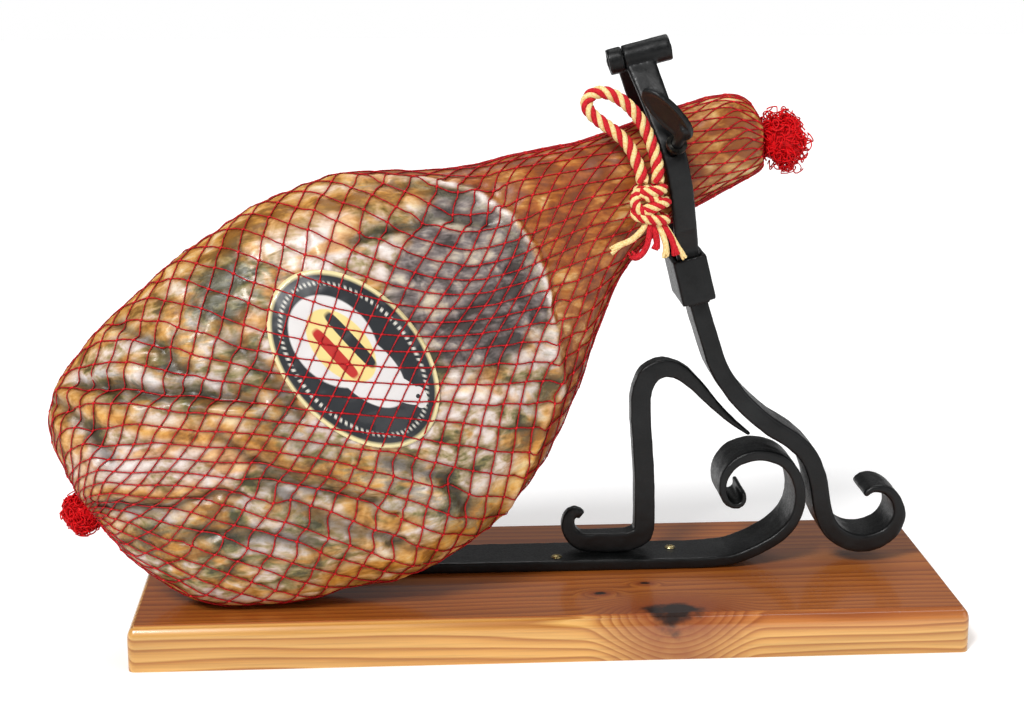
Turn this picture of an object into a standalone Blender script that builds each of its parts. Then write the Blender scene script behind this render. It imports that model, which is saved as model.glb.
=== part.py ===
"""A cured ham in its net, held in a wrought iron ham stand on a pine board.

Metres, +Z up. The origin is the centre of the board's underside, +X runs along the board towards
the clamp, and the ironwork's scrolls lie in planes parallel to XZ.
"""

import math

import bmesh
import bpy
from mathutils import Matrix, Vector

GAP = 0.0003  # clearance between pieces that touch

# Board
BOARD_LENGTH = 0.650
BOARD_DEPTH = 0.230
BOARD_THICK = 0.0363
BOARD_EDGE_DROP = 0.011  # height of the moulded step along the top edge
BOARD_EDGE_IN = 0.007

# Ironwork
IRON_Y = 0.013  # the plane that the bars are centred on
BAR_WIDTH = 0.045
BASE_THICK = 0.009
UPRIGHT_THICK = 0.015
BRACE_SIZE = 0.0165
BAR_EDGE = 0.0012
STRAP_THICK = 0.006
STRAP_WIDTH = 0.0185
STRAP_TOP_WIDTH = 0.023
IRON_TOP = BOARD_THICK + GAP + BASE_THICK

# Shank clamp: the straps rise from the collar along LEAN and are wide along ACROSS
LEAN = Vector((-0.245, 0.0, 0.9695))
ACROSS = Vector((0.9695, 0.0, 0.245))
CLAMP_FOOT = Vector((0.1225, 0.0, 0.262))
CLAMP_BOW = 0.0055  # how far the straps bow towards +X between collar and hinge
CLAMP_RISE = 0.197  # from the foot to the hinge's centre
STRAPS_PART = 0.038  # from the foot to where the straps leave the upright
HINGE_Y = 0.008
HINGE_RADIUS = 0.0103
HINGE_BORE = 0.0045
PIN_RADIUS = 0.0040
FRONT_KNUCKLE = (-0.0115, 0.0260)  # along ACROSS, from the hinge's centre
REAR_KNUCKLE = (-0.0240, -0.0120)
REAR_ASIDE = -0.0060  # the rear strap leans this far from the front one
COLLAR_HEIGHT = 0.037
COLLAR_WALL = 0.004
COLLAR_RISE = 0.017

# Clamp screw
SCREW_RISE = 0.1240  # along the front strap, from the clamp's foot
SCREW_OUT = Vector((0.175, -0.78, 0.60)).normalized()
SCREW_RADIUS = 0.0046
SCREW_LENGTH = 0.034
LEAF_LENGTH = 0.052
LEAF_WIDTH = 0.028
LEAF_THICK = 0.0050
LEAF_LONG = Vector((0.69, 0.0, -0.72)).normalized()  # from the leaf's free tip to its neck
LEAF_FACE = Vector((-0.60, -0.55, -0.57)).normalized()
LEAF_NECK = (0.0170, 0.0050)  # where the shank meets the leaf, from the leaf's centre

# Ham: its long axis runs from the rump's gathered net to the shank's end
HAM_START = Vector((-0.3608, -0.0504, 0.1082))
HAM_AXIS = Vector((0.8851, 0.0952, 0.4556)).normalized()
HAM_UP = Vector((-0.465, 0.1393, 0.8743)).normalized()
HAM_SIDE = HAM_AXIS.cross(HAM_UP).normalized()  # towards the front, -Y
HAM_RINGS = 34
HAM_RING_POINTS = 32
# Distance along the axis against the outline above it, the outline below it, half the thickness,
# and how far the middle of the section stands towards the front.
UPPER_EDGE = ((0, 0.012), (4, 0.049), (13, 0.080), (34, 0.099), (96, 0.125), (180, 0.143), (235, 0.147),
              (285, 0.141), (343, 0.117), (373, 0.101), (431, 0.084), (492, 0.067), (567, 0.056),
              (606, 0.043), (616, 0.026))
LOWER_EDGE = ((0, -0.004), (7, -0.022), (24, -0.075), (55, -0.114), (97, -0.136), (159, -0.154),
              (214, -0.168), (263, -0.163), (316, -0.147), (364, -0.117), (426, -0.062), (470, -0.030),
              (529, -0.019), (595, -0.018), (616, 0.008))
HALF_THICK = ((0, 0.008), (6, 0.026), (24, 0.046), (70, 0.063), (150, 0.077), (230, 0.080), (310, 0.070),
              (380, 0.050), (450, 0.037), (520, 0.0315), (590, 0.029), (608, 0.022), (616, 0.010))
FRONT_SHIFT = ((0, 0.0), (150, 0.004), (300, 0.003), (450, -0.004), (616, -0.006))

# Net ends
SHANK_TUFT = (Vector((0.1900, 0.0100, 0.3855)), 0.0190)
RUMP_TUFT = (Vector((-0.3620, -0.0500, 0.1072)), 0.0155)
TUFT_DENT = 1.22  # how much wider than the tuft the dent is that it draws into the ham

# Label, an oval sticker on the ham's broad side
LABEL_CENTRE = (0.2425, 0.0090)  # along the axis, and above it
LABEL_HALF = (0.0775, 0.0500)
LABEL_TURN = math.radians(-76)
LABEL_LIFT = 0.0011
LABEL_THICK = 0.0009

# Hanging rope
ROPE_RADIUS = 0.0052
KNOT_CENTRE = Vector((0.0785, -0.0455, 0.3425))
KNOT_SIZE = Vector((0.0185, 0.0110, 0.0190))

collection = None


def clear_scene():
    for obj in list(bpy.data.objects):
        bpy.data.objects.remove(obj, do_unlink=True)


def new_collection(name):
    made = bpy.data.collections.new(name)
    bpy.context.scene.collection.children.link(made)
    return made


def material(name, colour, roughness, metallic=0.0):
    found = bpy.data.materials.get(name)
    if found:
        return found
    made = bpy.data.materials.new(name)
    made.use_nodes = True
    shader = made.node_tree.nodes["Principled BSDF"]
    shader.inputs["Base Color"].default_value = (*colour, 1.0)
    shader.inputs["Roughness"].default_value = roughness
    shader.inputs["Metallic"].default_value = metallic
    return made


def iron():
    return material("black iron", (0.012, 0.012, 0.013), 0.45, 0.6)


def place(name, mesh_builder, finish):
    """A new object in the part's collection, from a bmesh."""
    mesh = bpy.data.meshes.new(name)
    mesh_builder.to_mesh(mesh)
    mesh_builder.free()
    made = bpy.data.objects.new(name, mesh)
    collection.objects.link(made)
    made.data.materials.append(finish)
    made.data.shade_smooth()
    return made


def smooth_path(points, step=0.004):
    """Points along a Catmull-Rom curve through the given ones."""
    points = [Vector(p) for p in points]
    ends = [2 * points[0] - points[1], *points, 2 * points[-1] - points[-2]]
    path = []
    for before, start, stop, after in zip(ends, ends[1:], ends[2:], ends[3:]):
        count = max(1, round((stop - start).length / step))
        for i in range(count):
            t = i / count
            path.append(0.5 * (2 * start + (stop - before) * t
                               + (2 * before - 5 * start + 4 * stop - after) * t ** 2
                               + (3 * start - before - 3 * stop + after) * t ** 3))
    path.append(points[-1])
    return path


def thinned(path, tolerance=0.00028):
    """The path without the points that a straight run doesn't need."""
    first, last = path[0], path[-1]
    if len(path) < 3:
        return list(path)
    along = (last - first).normalized()
    offsets = [((p - first) - (p - first).dot(along) * along).length for p in path]
    worst = max(range(len(path)), key=lambda i: offsets[i])
    if offsets[worst] <= tolerance:
        return [first, last]
    return thinned(path[:worst + 1], tolerance)[:-1] + thinned(path[worst:], tolerance)


def along_of(path):
    """Each point's share of the path's length."""
    lengths = [0.0]
    for a, b in zip(path, path[1:]):
        lengths.append(lengths[-1] + (b - a).length)
    return [x / lengths[-1] for x in lengths]


def flat_bar(name, path, across, width, thick, thin_ends=None, bevel=BAR_EDGE):
    """A forged flat bar: a ribbon that follows the path, given its thickness and soft edges.

    width is a number, or a function of the share of the length. thin_ends is a function that
    gives the share of the full thickness.
    """
    shares = along_of(path)
    build = bmesh.new()
    rows = []
    for point, share in zip(path, shares):
        half = 0.5 * (width(share) if callable(width) else width)
        rows.append([build.verts.new(point - across * half), build.verts.new(point + across * half)])
    for (a, b), (c, d) in zip(rows, rows[1:]):
        build.faces.new((a, b, d, c))
    bar = place(name, build, iron())
    group = bar.vertex_groups.new(name="thickness")
    for row, share in enumerate(shares):
        weight = thin_ends(share) if thin_ends else 1.0
        group.add([2 * row, 2 * row + 1], weight, "REPLACE")
    solid = bar.modifiers.new("Thickness", "SOLIDIFY")
    solid.thickness = thick
    solid.offset = 0.0
    solid.vertex_group = group.name
    solid.thickness_vertex_group = 0.0
    soft = bar.modifiers.new("Soft edges", "BEVEL")
    soft.width = bevel
    soft.segments = 2
    soft.limit_method = "ANGLE"
    soft.angle_limit = math.radians(50)
    return bar


def baked(obj):
    """The object with its modifiers turned into mesh."""
    graph = bpy.context.evaluated_depsgraph_get()
    mesh = bpy.data.meshes.new_from_object(obj.evaluated_get(graph))
    obj.modifiers.clear()
    obj.data = mesh
    return obj


def join(target, other, operation="UNION"):
    """Adds other to target, or cuts it from target, and removes other."""
    boolean = target.modifiers.new("Join", "BOOLEAN")
    boolean.operation = operation
    boolean.object = other
    boolean.solver = "EXACT"
    bpy.context.view_layer.update()
    baked(target)
    bpy.data.objects.remove(other, do_unlink=True)


def cylinder(name, radius, start, stop, sides=28, end_radius=None):
    """A rod between two points, with its ends capped."""
    start, stop = Vector(start), Vector(stop)
    build = bmesh.new()
    bmesh.ops.create_cone(build, cap_ends=True, segments=sides, radius1=radius,
                          radius2=radius if end_radius is None else end_radius,
                          depth=(stop - start).length)
    turn = (stop - start).to_track_quat("Z", "Y").to_matrix().to_4x4()
    build.transform(Matrix.Translation((start + stop) / 2) @ turn)
    return place(name, build, iron())


def xz_path(points):
    """A path in the ironwork's plane, from millimetre pairs (x, z)."""
    return thinned(smooth_path([Vector((x / 1000, IRON_Y, z / 1000)) for x, z in points]))


def taper(start=0.0, stop=1.0, thin=0.35):
    """Full thickness between start and stop, drawn down to thin at the two ends."""
    def share_of(share):
        if share < start:
            return thin + (1 - thin) * share / start
        if share > stop:
            return thin + (1 - thin) * (1 - share) / (1 - stop)
        return 1.0
    return share_of


# ---- board -------------------------------------------------------------------------------------

def make_board():
    """A pine board whose top edge is stepped in and rounded over."""
    build = bmesh.new()
    bmesh.ops.create_cube(build, size=1.0)
    bmesh.ops.scale(build, vec=(BOARD_LENGTH, BOARD_DEPTH, BOARD_THICK), verts=build.verts)
    bmesh.ops.translate(build, vec=(0, 0, BOARD_THICK / 2), verts=build.verts)
    upright = [e for e in build.edges if abs(e.verts[0].co.z - e.verts[1].co.z) > 0.01]
    bmesh.ops.bevel(build, geom=upright, offset=0.006, segments=4, profile=0.5, affect="EDGES")
    build.faces.ensure_lookup_table()
    top = max(build.faces, key=lambda f: f.calc_center_median().z)
    # The moulding, from the top face outwards: a small fillet, a step, and a rounded shoulder.
    steps = [(0.0016, 0.0), (0.0006, -0.0024)]
    turns = 4
    round_in = BOARD_EDGE_IN - sum(s[0] for s in steps)
    round_drop = BOARD_EDGE_DROP - 0.0024
    bmesh.ops.translate(build, vec=(0, 0, -BOARD_EDGE_DROP), verts=top.verts)
    before = 0.0
    for i in range(1, turns + 1):
        angle = math.pi / 2 * i / turns
        inward = round_in * (1 - math.cos(angle))
        rise = round_drop * (math.sin(angle) - math.sin(math.pi / 2 * (i - 1) / turns))
        bmesh.ops.inset_individual(build, faces=[top], thickness=inward - before, depth=0.0)
        bmesh.ops.translate(build, vec=(0, 0, rise), verts=top.verts)
        before = inward
    for inward, drop in reversed(steps):
        bmesh.ops.inset_individual(build, faces=[top], thickness=inward, depth=0.0)
        bmesh.ops.translate(build, vec=(0, 0, -drop), verts=top.verts)
    return place("pine_board", build, material("varnished pine", (0.45, 0.21, 0.07), 0.3))


# ---- ironwork ----------------------------------------------------------------------------------

def make_base_bar():
    """The flat bar along the board, whose clamp end rises and curls into a C scroll."""
    flat = BOARD_THICK + GAP + BASE_THICK / 2
    z = flat * 1000
    outline = [(-178, z), (-60, z), (60, z), (112, z), (124, z), (135, z + 0.25),
               (148, z + 1.3), (162, z + 4.0), (188, 57.5), (204.5, 73.5), (210.3, 93),
               (206.5, 112.5), (195.3, 126), (177, 131.6), (159, 127.4), (148.2, 115.5), (146.2, 102),
               (151, 91.5), (159, 89), (164, 94), (163, 101)]
    bar = flat_bar("base_bar_scroll", xz_path(outline), Vector((0, 1, 0)), BAR_WIDTH + 0.004, BASE_THICK,
                   taper(0.0, 0.86, 0.42))
    return bar


def make_base_screws():
    """The two screw heads that hold the bar down."""
    for i, (x, y) in enumerate(((0.1075, 0.0170), (0.0113, -0.0010))):
        build = bmesh.new()
        bmesh.ops.create_uvsphere(build, u_segments=16, v_segments=10, radius=0.0045)
        bmesh.ops.scale(build, vec=(1, 1, 0.4), verts=build.verts)
        below = bmesh.ops.bisect_plane(build, geom=build.verts[:] + build.edges[:] + build.faces[:],
                                       plane_co=(0, 0, 0), plane_no=(0, 0, -1), clear_outer=True)
        rim = [e for e in below["geom_cut"] if isinstance(e, bmesh.types.BMEdge)]
        bmesh.ops.edgeloop_fill(build, edges=rim)
        bmesh.ops.translate(build, vec=(x, y, IRON_TOP + GAP), verts=build.verts)
        bmesh.ops.recalc_face_normals(build, faces=build.faces)
        place(f"base_screw_{i + 1}", build, material("zinc screw", (0.55, 0.52, 0.42), 0.3, 1.0))


def make_upright():
    """The thick bar that runs from the collar down, past the C scroll, into its own curled foot."""
    outline = [(112.5, 300), (122.5, 262), (132.5, 229), (142, 203), (155.5, 182.5), (169.5, 167.5),
               (185, 154.5),
               (203, 143), (216.5, 129.5), (224, 113), (227.5, 95), (231, 79), (240, 63.5), (256, 54.8),
               (272, 55), (286.5, 63), (293.5, 77), (290.5, 91), (281, 99.5), (270, 100.5), (264, 95)]
    return flat_bar("upright_bar", xz_path(outline), Vector((0, 1, 0)), BAR_WIDTH, UPRIGHT_THICK,
                    taper(0.0, 0.80, 0.30), bevel=0.0018)


def make_brace():
    """The square bar that stands on the base bar, arches over and tapers to a point under the upright."""
    low = (IRON_TOP + GAP * 2) * 1000 + BRACE_SIZE * 500
    outline = [(33, 77), (27.5, 80.5), (22.5, 76), (22, 67), (26.5, 59.5), (33, low + 1.0), (40, low + 0.2),
               (52, low), (62, low), (71, low + 0.6), (79, low + 3.5),
               (83.3, 61), (84.6, 72), (84, 112), (80.6, 158), (80.6, 180), (86.5, 195.5), (99, 201.5),
               (112.5, 197.5), (126, 186), (141.5, 169), (156, 155), (171, 143.6)]

    def size(share):
        curl = min(1.0, 0.45 + 0.55 * share / 0.14)
        return min(curl, 1.0 if share < 0.68 else 1.0 - 0.82 * (share - 0.68) / 0.32)

    return flat_bar("brace_bar", xz_path(outline), Vector((0, 1, 0)),
                    lambda share: BRACE_SIZE * max(0.5, size(share)), BRACE_SIZE, size, bevel=0.0022)


def clamp_point(rise, y, bow=CLAMP_BOW, aside=0.0):
    """A point on the clamp: rise along LEAN from the foot, at depth y, and going aside on its way up."""
    share = min(1.0, max(0.0, (rise - STRAPS_PART) / (CLAMP_RISE - STRAPS_PART)))
    side = bow * math.sin(math.pi * share) ** 1.5 + aside * min(1.0, 2 * share) ** 2
    return CLAMP_FOOT + LEAN * rise + ACROSS * side + Vector((0, y, 0))


def hinge_point(offset):
    """A point on the hinge's axis."""
    return clamp_point(CLAMP_RISE, HINGE_Y) + ACROSS * offset


def strap_width(share):
    return STRAP_WIDTH + (STRAP_TOP_WIDTH - STRAP_WIDTH) * max(0.0, (share - 0.6) / 0.4)


def strap(name, stations, knuckle, aside=0.0):
    """One side of the shank clamp: a strap that ends in its hinge knuckle."""
    path = thinned(smooth_path([clamp_point(rise, y, aside=aside) for rise, y in stations]))
    bar = flat_bar(name, path, ACROSS, strap_width, STRAP_THICK)
    bpy.context.view_layer.update()
    baked(bar)
    barrel = cylinder("barrel", HINGE_RADIUS, hinge_point(knuckle[0]), hinge_point(knuckle[1]), 32)
    join(bar, barrel)
    bore = cylinder("bore", HINGE_BORE, hinge_point(knuckle[0] - 0.03), hinge_point(knuckle[1] + 0.03), 24)
    join(bar, bore, "DIFFERENCE")
    return bar


FACE = BAR_WIDTH / 2 + GAP + STRAP_THICK / 2  # from the bars' plane to a strap beside the upright
FRONT_STATIONS = ((-0.004, IRON_Y - FACE), (0.032, IRON_Y - FACE), (0.040, IRON_Y - FACE - 0.0006),
                  (0.050, -0.0186), (0.066, -0.0262),
                  (0.090, -0.0325), (0.112, -0.0345), (0.128, -0.0310), (0.146, -0.0232), (0.164, -0.0145),
                  (0.180, -0.0058), (0.1895, 0.0012))
REAR_STATIONS = ((-0.004, IRON_Y + FACE), (0.032, IRON_Y + FACE), (0.040, IRON_Y + FACE + 0.0006),
                 (0.060, 0.0430), (0.090, 0.0468),
                 (0.115, 0.0456), (0.140, 0.0385), (0.164, 0.0285), (0.180, 0.0205), (0.1895, 0.0148))


def screw_line():
    """A point in the middle of the front strap where the screw passes, and the way out of it."""
    path = smooth_path([clamp_point(rise, y) for rise, y in FRONT_STATIONS], 0.001)
    middle = min(path, key=lambda p: abs((p - CLAMP_FOOT).dot(LEAN) - SCREW_RISE))
    return middle, SCREW_OUT


def make_clamp():
    front = strap("front_strap", FRONT_STATIONS, FRONT_KNUCKLE)
    middle, out = screw_line()
    hole = cylinder("hole", SCREW_RADIUS + 0.0004, middle - out * 0.02, middle + out * 0.02, 28)
    join(front, hole, "DIFFERENCE")

    # The rear strap's knuckle stands beside the front one, so its top is cut clear of the front barrel.
    rear = strap("rear_strap", REAR_STATIONS, REAR_KNUCKLE, REAR_ASIDE)
    clear = cylinder("clear", HINGE_RADIUS + GAP * 2, hinge_point(FRONT_KNUCKLE[0] - GAP),
                     hinge_point(FRONT_KNUCKLE[1] + 0.01), 32)
    join(rear, clear, "DIFFERENCE")

    cylinder("hinge_pin", PIN_RADIUS, hinge_point(REAR_KNUCKLE[0] - 0.001),
             hinge_point(FRONT_KNUCKLE[1] + 0.001), 24)


def make_collar():
    """The sleeve that binds the upright and the two straps together."""
    def block(name, size, rise):
        build = bmesh.new()
        bmesh.ops.create_cube(build, size=1.0)
        bmesh.ops.scale(build, vec=size, verts=build.verts)
        turn = Matrix((ACROSS, Vector((0, 1, 0)), LEAN)).transposed().to_4x4()
        centre = clamp_point(rise, IRON_Y, bow=0.0)
        long_edges = [e for e in build.edges if abs((e.verts[0].co - e.verts[1].co).z) > 0.01]
        bmesh.ops.bevel(build, geom=long_edges, offset=0.003, segments=3, profile=0.5, affect="EDGES")
        build.transform(Matrix.Translation(centre) @ turn)
        return place(name, build, iron())

    inner = (0.0196, BAR_WIDTH + 2 * STRAP_THICK + 4 * GAP, 0.2)
    outer = (inner[0] + 2 * COLLAR_WALL, inner[1] + 2 * COLLAR_WALL, COLLAR_HEIGHT)
    collar = block("collar", outer, COLLAR_RISE)
    build = bmesh.new()
    bmesh.ops.create_cube(build, size=1.0)
    bmesh.ops.scale(build, vec=inner, verts=build.verts)
    turn = Matrix((ACROSS, Vector((0, 1, 0)), LEAN)).transposed().to_4x4()
    build.transform(Matrix.Translation(clamp_point(COLLAR_RISE, IRON_Y, bow=0.0)) @ turn)
    join(collar, place("collar_hole", build, iron()), "DIFFERENCE")


def make_clamp_screw():
    """The thumb screw: a round shank, bent over at its outer end into an oval leaf with a raised rim."""
    middle, out = screw_line()
    tip = middle - out * 0.0055
    head = middle + out * SCREW_LENGTH
    shank = cylinder("clamp_screw", SCREW_RADIUS, tip, head)
    build = bmesh.new()
    bmesh.ops.create_cone(build, cap_ends=True, segments=36, radius1=0.5, radius2=0.5, depth=LEAF_THICK)
    rim = [e for e in build.edges if abs(e.verts[0].co.z - e.verts[1].co.z) < 1e-6]
    bmesh.ops.bevel(build, geom=rim, offset=0.0016, segments=2, profile=0.5, affect="EDGES")
    flats = [f for f in build.faces if abs(f.normal.z) > 0.9 and len(f.verts) > 8]
    bmesh.ops.inset_individual(build, faces=flats, thickness=0.06, depth=0.0)
    bmesh.ops.inset_individual(build, faces=flats, thickness=0.06, depth=-0.0012)
    bmesh.ops.scale(build, vec=(LEAF_LENGTH, LEAF_WIDTH, 1), verts=build.verts)
    across = LEAF_FACE.cross(LEAF_LONG).normalized()
    turn = Matrix((LEAF_LONG, across, LEAF_FACE)).transposed().to_4x4()
    centre = head - LEAF_LONG * LEAF_NECK[0] - across * LEAF_NECK[1]
    build.transform(Matrix.Translation(centre) @ turn)
    bmesh.ops.recalc_face_normals(build, faces=build.faces)
    join(shank, place("leaf", build, iron()))

    # A bright threaded ring stands on the strap round the screw.
    ring_foot = middle + out * (STRAP_THICK / 2 + 0.0048)
    ring = cylinder("screw_ring", 0.0082, ring_foot, middle + out * 0.0108, 28)
    bore = cylinder("ring_bore", SCREW_RADIUS + 0.0004, middle - out * 0.02, middle + out * 0.03, 28)
    join(ring, bore, "DIFFERENCE")
    ring.data.materials.clear()
    ring.data.materials.append(material("worn steel", (0.5, 0.5, 0.5), 0.25, 1.0))


# ---- ham ---------------------------------------------------------------------------------------

def level(table, millimetres):
    """A value between a table's entries, on a smooth curve that doesn't overshoot."""
    xs = [row[0] for row in table]
    ys = [row[1] for row in table]
    if millimetres <= xs[0]:
        return ys[0]
    slopes = []
    steps = [(ys[i + 1] - ys[i]) / (xs[i + 1] - xs[i]) for i in range(len(xs) - 1)]
    for i in range(len(xs)):
        if i in (0, len(xs) - 1):
            slopes.append(steps[0] if i == 0 else steps[-1])
        else:
            before, after = steps[i - 1], steps[i]
            slopes.append(0.0 if before * after <= 0 else 2 * before * after / (before + after))
    for i in range(len(xs) - 1):
        if millimetres <= xs[i + 1]:
            width = xs[i + 1] - xs[i]
            t = (millimetres - xs[i]) / width
            return ((1 + 2 * t) * (1 - t) ** 2 * ys[i] + t * (1 - t) ** 2 * width * slopes[i]
                    + t ** 2 * (3 - 2 * t) * ys[i + 1] + t ** 2 * (t - 1) * width * slopes[i + 1])
    return ys[-1]


def ham_point(along, angle, lift=0.0):
    """A point of the ham's skin: along the axis in metres, round it from the upper edge to the front."""
    mm = along * 1000
    upper, lower = level(UPPER_EDGE, mm), level(LOWER_EDGE, mm)
    half_width, thick = (upper - lower) / 2 + lift, level(HALF_THICK, mm) + lift
    c, s = math.cos(angle), math.sin(angle)
    fullness = 2.35 if s > 0 else 2.15
    rise = half_width * math.copysign(abs(c) ** (2 / fullness), c) + (upper + lower) / 2
    side = thick * math.copysign(abs(s) ** (2 / fullness), s) + level(FRONT_SHIFT, mm)
    return HAM_START + HAM_AXIS * along + HAM_UP * rise + HAM_SIDE * side


def ham_stations():
    """Distances along the axis, close together where the ends round off."""
    total = UPPER_EDGE[-1][0] / 1000
    turns = [math.pi * (0.06 + 0.88 * i / (HAM_RINGS - 1)) for i in range(HAM_RINGS)]
    return [total * (0.5 - 0.5 * math.cos(turn)) for turn in turns]


def pressed(point):
    """The ham is pressed flat where it rests on the board, and drawn in round the net's tufts."""
    for centre, radius in (SHANK_TUFT, RUMP_TUFT):
        offset = point - centre
        if offset.length < radius * TUFT_DENT:
            point = centre + offset.normalized() * radius * TUFT_DENT
    return Vector((point.x, point.y, max(point.z, BOARD_THICK + GAP)))


def make_ham():
    build = bmesh.new()
    rings = []
    for along in ham_stations():
        ring = [build.verts.new(pressed(ham_point(along, 2 * math.pi * i / HAM_RING_POINTS)))
                for i in range(HAM_RING_POINTS)]
        rings.append(ring)
    for a, b in zip(rings, rings[1:]):
        for i in range(HAM_RING_POINTS):
            j = (i + 1) % HAM_RING_POINTS
            build.faces.new((a[i], a[j], b[j], b[i]))
    for ring, out in ((rings[0], -0.002), (rings[-1], 0.002)):
        corners = [v.co.copy() for v in ring]
        pole = sum(corners, Vector()) / len(ring) + HAM_AXIS * out
        for share in (0.25, 0.45, 0.62, 0.76, 0.88):
            inner = [build.verts.new(pressed(corner.lerp(pole, share))) for corner in corners]
            for i in range(HAM_RING_POINTS):
                j = (i + 1) % HAM_RING_POINTS
                build.faces.new((ring[i], ring[j], inner[j], inner[i]))
            ring = inner
        tip = build.verts.new(pressed(pole))
        for i in range(HAM_RING_POINTS):
            build.faces.new((ring[i], ring[(i + 1) % HAM_RING_POINTS], tip))
    bmesh.ops.recalc_face_normals(build, faces=build.faces)
    return place("ham_in_net", build, material("cured ham", (0.33, 0.16, 0.06), 0.5))


def make_label(ham):
    """The oval sticker, bent to the ham's broad side."""
    build = bmesh.new()
    bmesh.ops.create_circle(build, cap_ends=False, segments=32, radius=1.0)
    rim = list(build.verts)
    rings = [rim]
    for share in (0.72, 0.4):
        rings.append([build.verts.new(v.co * share) for v in rim])
    centre = build.verts.new((0, 0, 0))
    for a, b in zip(rings, rings[1:]):
        for i in range(len(rim)):
            j = (i + 1) % len(rim)
            build.faces.new((a[i], a[j], b[j], b[i]))
    for i in range(len(rim)):
        build.faces.new((rings[-1][i], rings[-1][(i + 1) % len(rim)], centre))
    c, s = math.cos(LABEL_TURN), math.sin(LABEL_TURN)
    middle = HAM_START + HAM_AXIS * LABEL_CENTRE[0] + HAM_UP * LABEL_CENTRE[1] + HAM_SIDE * 0.16
    bpy.context.view_layer.update()
    for v in build.verts:
        x, y = v.co.x * LABEL_HALF[0], v.co.y * LABEL_HALF[1]
        start = middle + HAM_AXIS * (c * x - s * y) + HAM_UP * (s * x + c * y)
        hit, where, normal, _ = ham.ray_cast(start, -HAM_SIDE)
        v.co = where + normal * LABEL_LIFT if hit else start
    for _ in range(3):
        bmesh.ops.smooth_vert(build, verts=[v for v in build.verts if not v.is_boundary], factor=0.3,
                              use_axis_x=True, use_axis_y=True, use_axis_z=True)
    bmesh.ops.translate(build, vec=HAM_SIDE * 0.0006, verts=build.verts)
    bmesh.ops.recalc_face_normals(build, faces=build.faces)
    if sum((f.normal for f in build.faces), Vector()).dot(HAM_SIDE) < 0:
        bmesh.ops.reverse_faces(build, faces=build.faces)
    label = place("label", build, material("printed paper", (0.05, 0.05, 0.05), 0.4))
    solid = label.modifiers.new("Thickness", "SOLIDIFY")
    solid.thickness = LABEL_THICK
    solid.offset = 1.0


def make_tuft(name, centre, radius):
    """The gathered end of the net: an uneven ball."""
    build = bmesh.new()
    bmesh.ops.create_icosphere(build, subdivisions=3, radius=radius)
    for v in build.verts:
        d = v.co.normalized()
        wave = math.sin(9 * d.x + 2 * d.y) * math.sin(8 * d.y + 3 * d.z) * math.sin(10 * d.z - 2 * d.x)
        v.co *= 1 + 0.12 * wave
    bmesh.ops.translate(build, vec=centre, verts=build.verts)
    place(name, build, material("red net", (0.45, 0.005, 0.01), 0.6))


# ---- rope --------------------------------------------------------------------------------------

# The rope's own middle line, in millimetres: up from the knot over the shank's front, out in a
# bight to the left, and back down beside itself to the knot.
ROPE_ROUTE = ((84.0, -46.0, 361), (84.3, -45.2, 366), (83.8, -41.0, 376), (80.5, -39.0, 388),
              (76.0, -36.5, 399), (70.0, -34.5, 409.5), (62.0, -33.0, 418.5), (52.0, -32.0, 425.5),
              (42.0, -31.5, 428.5), (33.5, -31.5, 426.0), (30.5, -32.5, 419.0), (34.5, -33.5, 412.0),
              (43.0, -35.0, 405.0), (53.0, -37.0, 398.0), (61.5, -39.5, 389.5), (67.0, -42.0, 379.0),
              (70.8, -44.2, 370.0), (72.0, -45.5, 365.5),
              (72.2, -46.0, 361))


def make_rope():
    data = bpy.data.curves.new("rope_loop", "CURVE")
    data.dimensions = "3D"
    data.bevel_depth = ROPE_RADIUS
    data.bevel_resolution = 3
    data.use_fill_caps = True
    points = smooth_path([Vector(p) / 1000 for p in ROPE_ROUTE], 0.008)
    spline = data.splines.new("POLY")
    spline.points.add(len(points) - 1)
    for slot, p in zip(spline.points, points):
        slot.co = (*p, 1.0)
    rope = bpy.data.objects.new("rope_loop", data)
    collection.objects.link(rope)
    data.materials.append(material("cotton rope", (0.6, 0.2, 0.05), 0.8))

    build = bmesh.new()
    bmesh.ops.create_icosphere(build, subdivisions=3, radius=1.0)
    for v in build.verts:
        d = v.co.normalized()
        turn = math.sin(3.0 * math.atan2(d.z, d.x) + 5.0 * d.z)
        v.co = Vector((d.x * KNOT_SIZE.x, d.y * KNOT_SIZE.y, d.z * KNOT_SIZE.z)) * (1 + 0.07 * turn)
    cut = bmesh.ops.bisect_plane(build, geom=build.verts[:] + build.edges[:] + build.faces[:],
                                 plane_co=(0, 0, 0.0172), plane_no=(0, 0, 1), clear_outer=True)
    bmesh.ops.edgeloop_fill(build, edges=[e for e in cut["geom_cut"] if isinstance(e, bmesh.types.BMEdge)])
    bmesh.ops.translate(build, vec=KNOT_CENTRE, verts=build.verts)
    bmesh.ops.recalc_face_normals(build, faces=build.faces)
    place("rope_knot", build, material("cotton rope", (0.6, 0.2, 0.05), 0.8))


def main():
    global collection
    clear_scene()
    collection = new_collection("cured ham on its stand")
    make_board()
    make_base_bar()
    make_base_screws()
    make_upright()
    make_brace()
    make_clamp()
    make_collar()
    make_clamp_screw()
    ham = make_ham()
    make_label(ham)
    make_tuft("net_tuft_shank", *SHANK_TUFT)
    make_tuft("net_tuft_rump", *RUMP_TUFT)
    make_rope()


main()
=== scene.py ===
import math
import random

import bmesh
import bpy
import numpy as np
from mathutils import Matrix, Vector, noise
from mathutils.bvhtree import BVHTree
from mathutils.kdtree import KDTree


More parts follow.
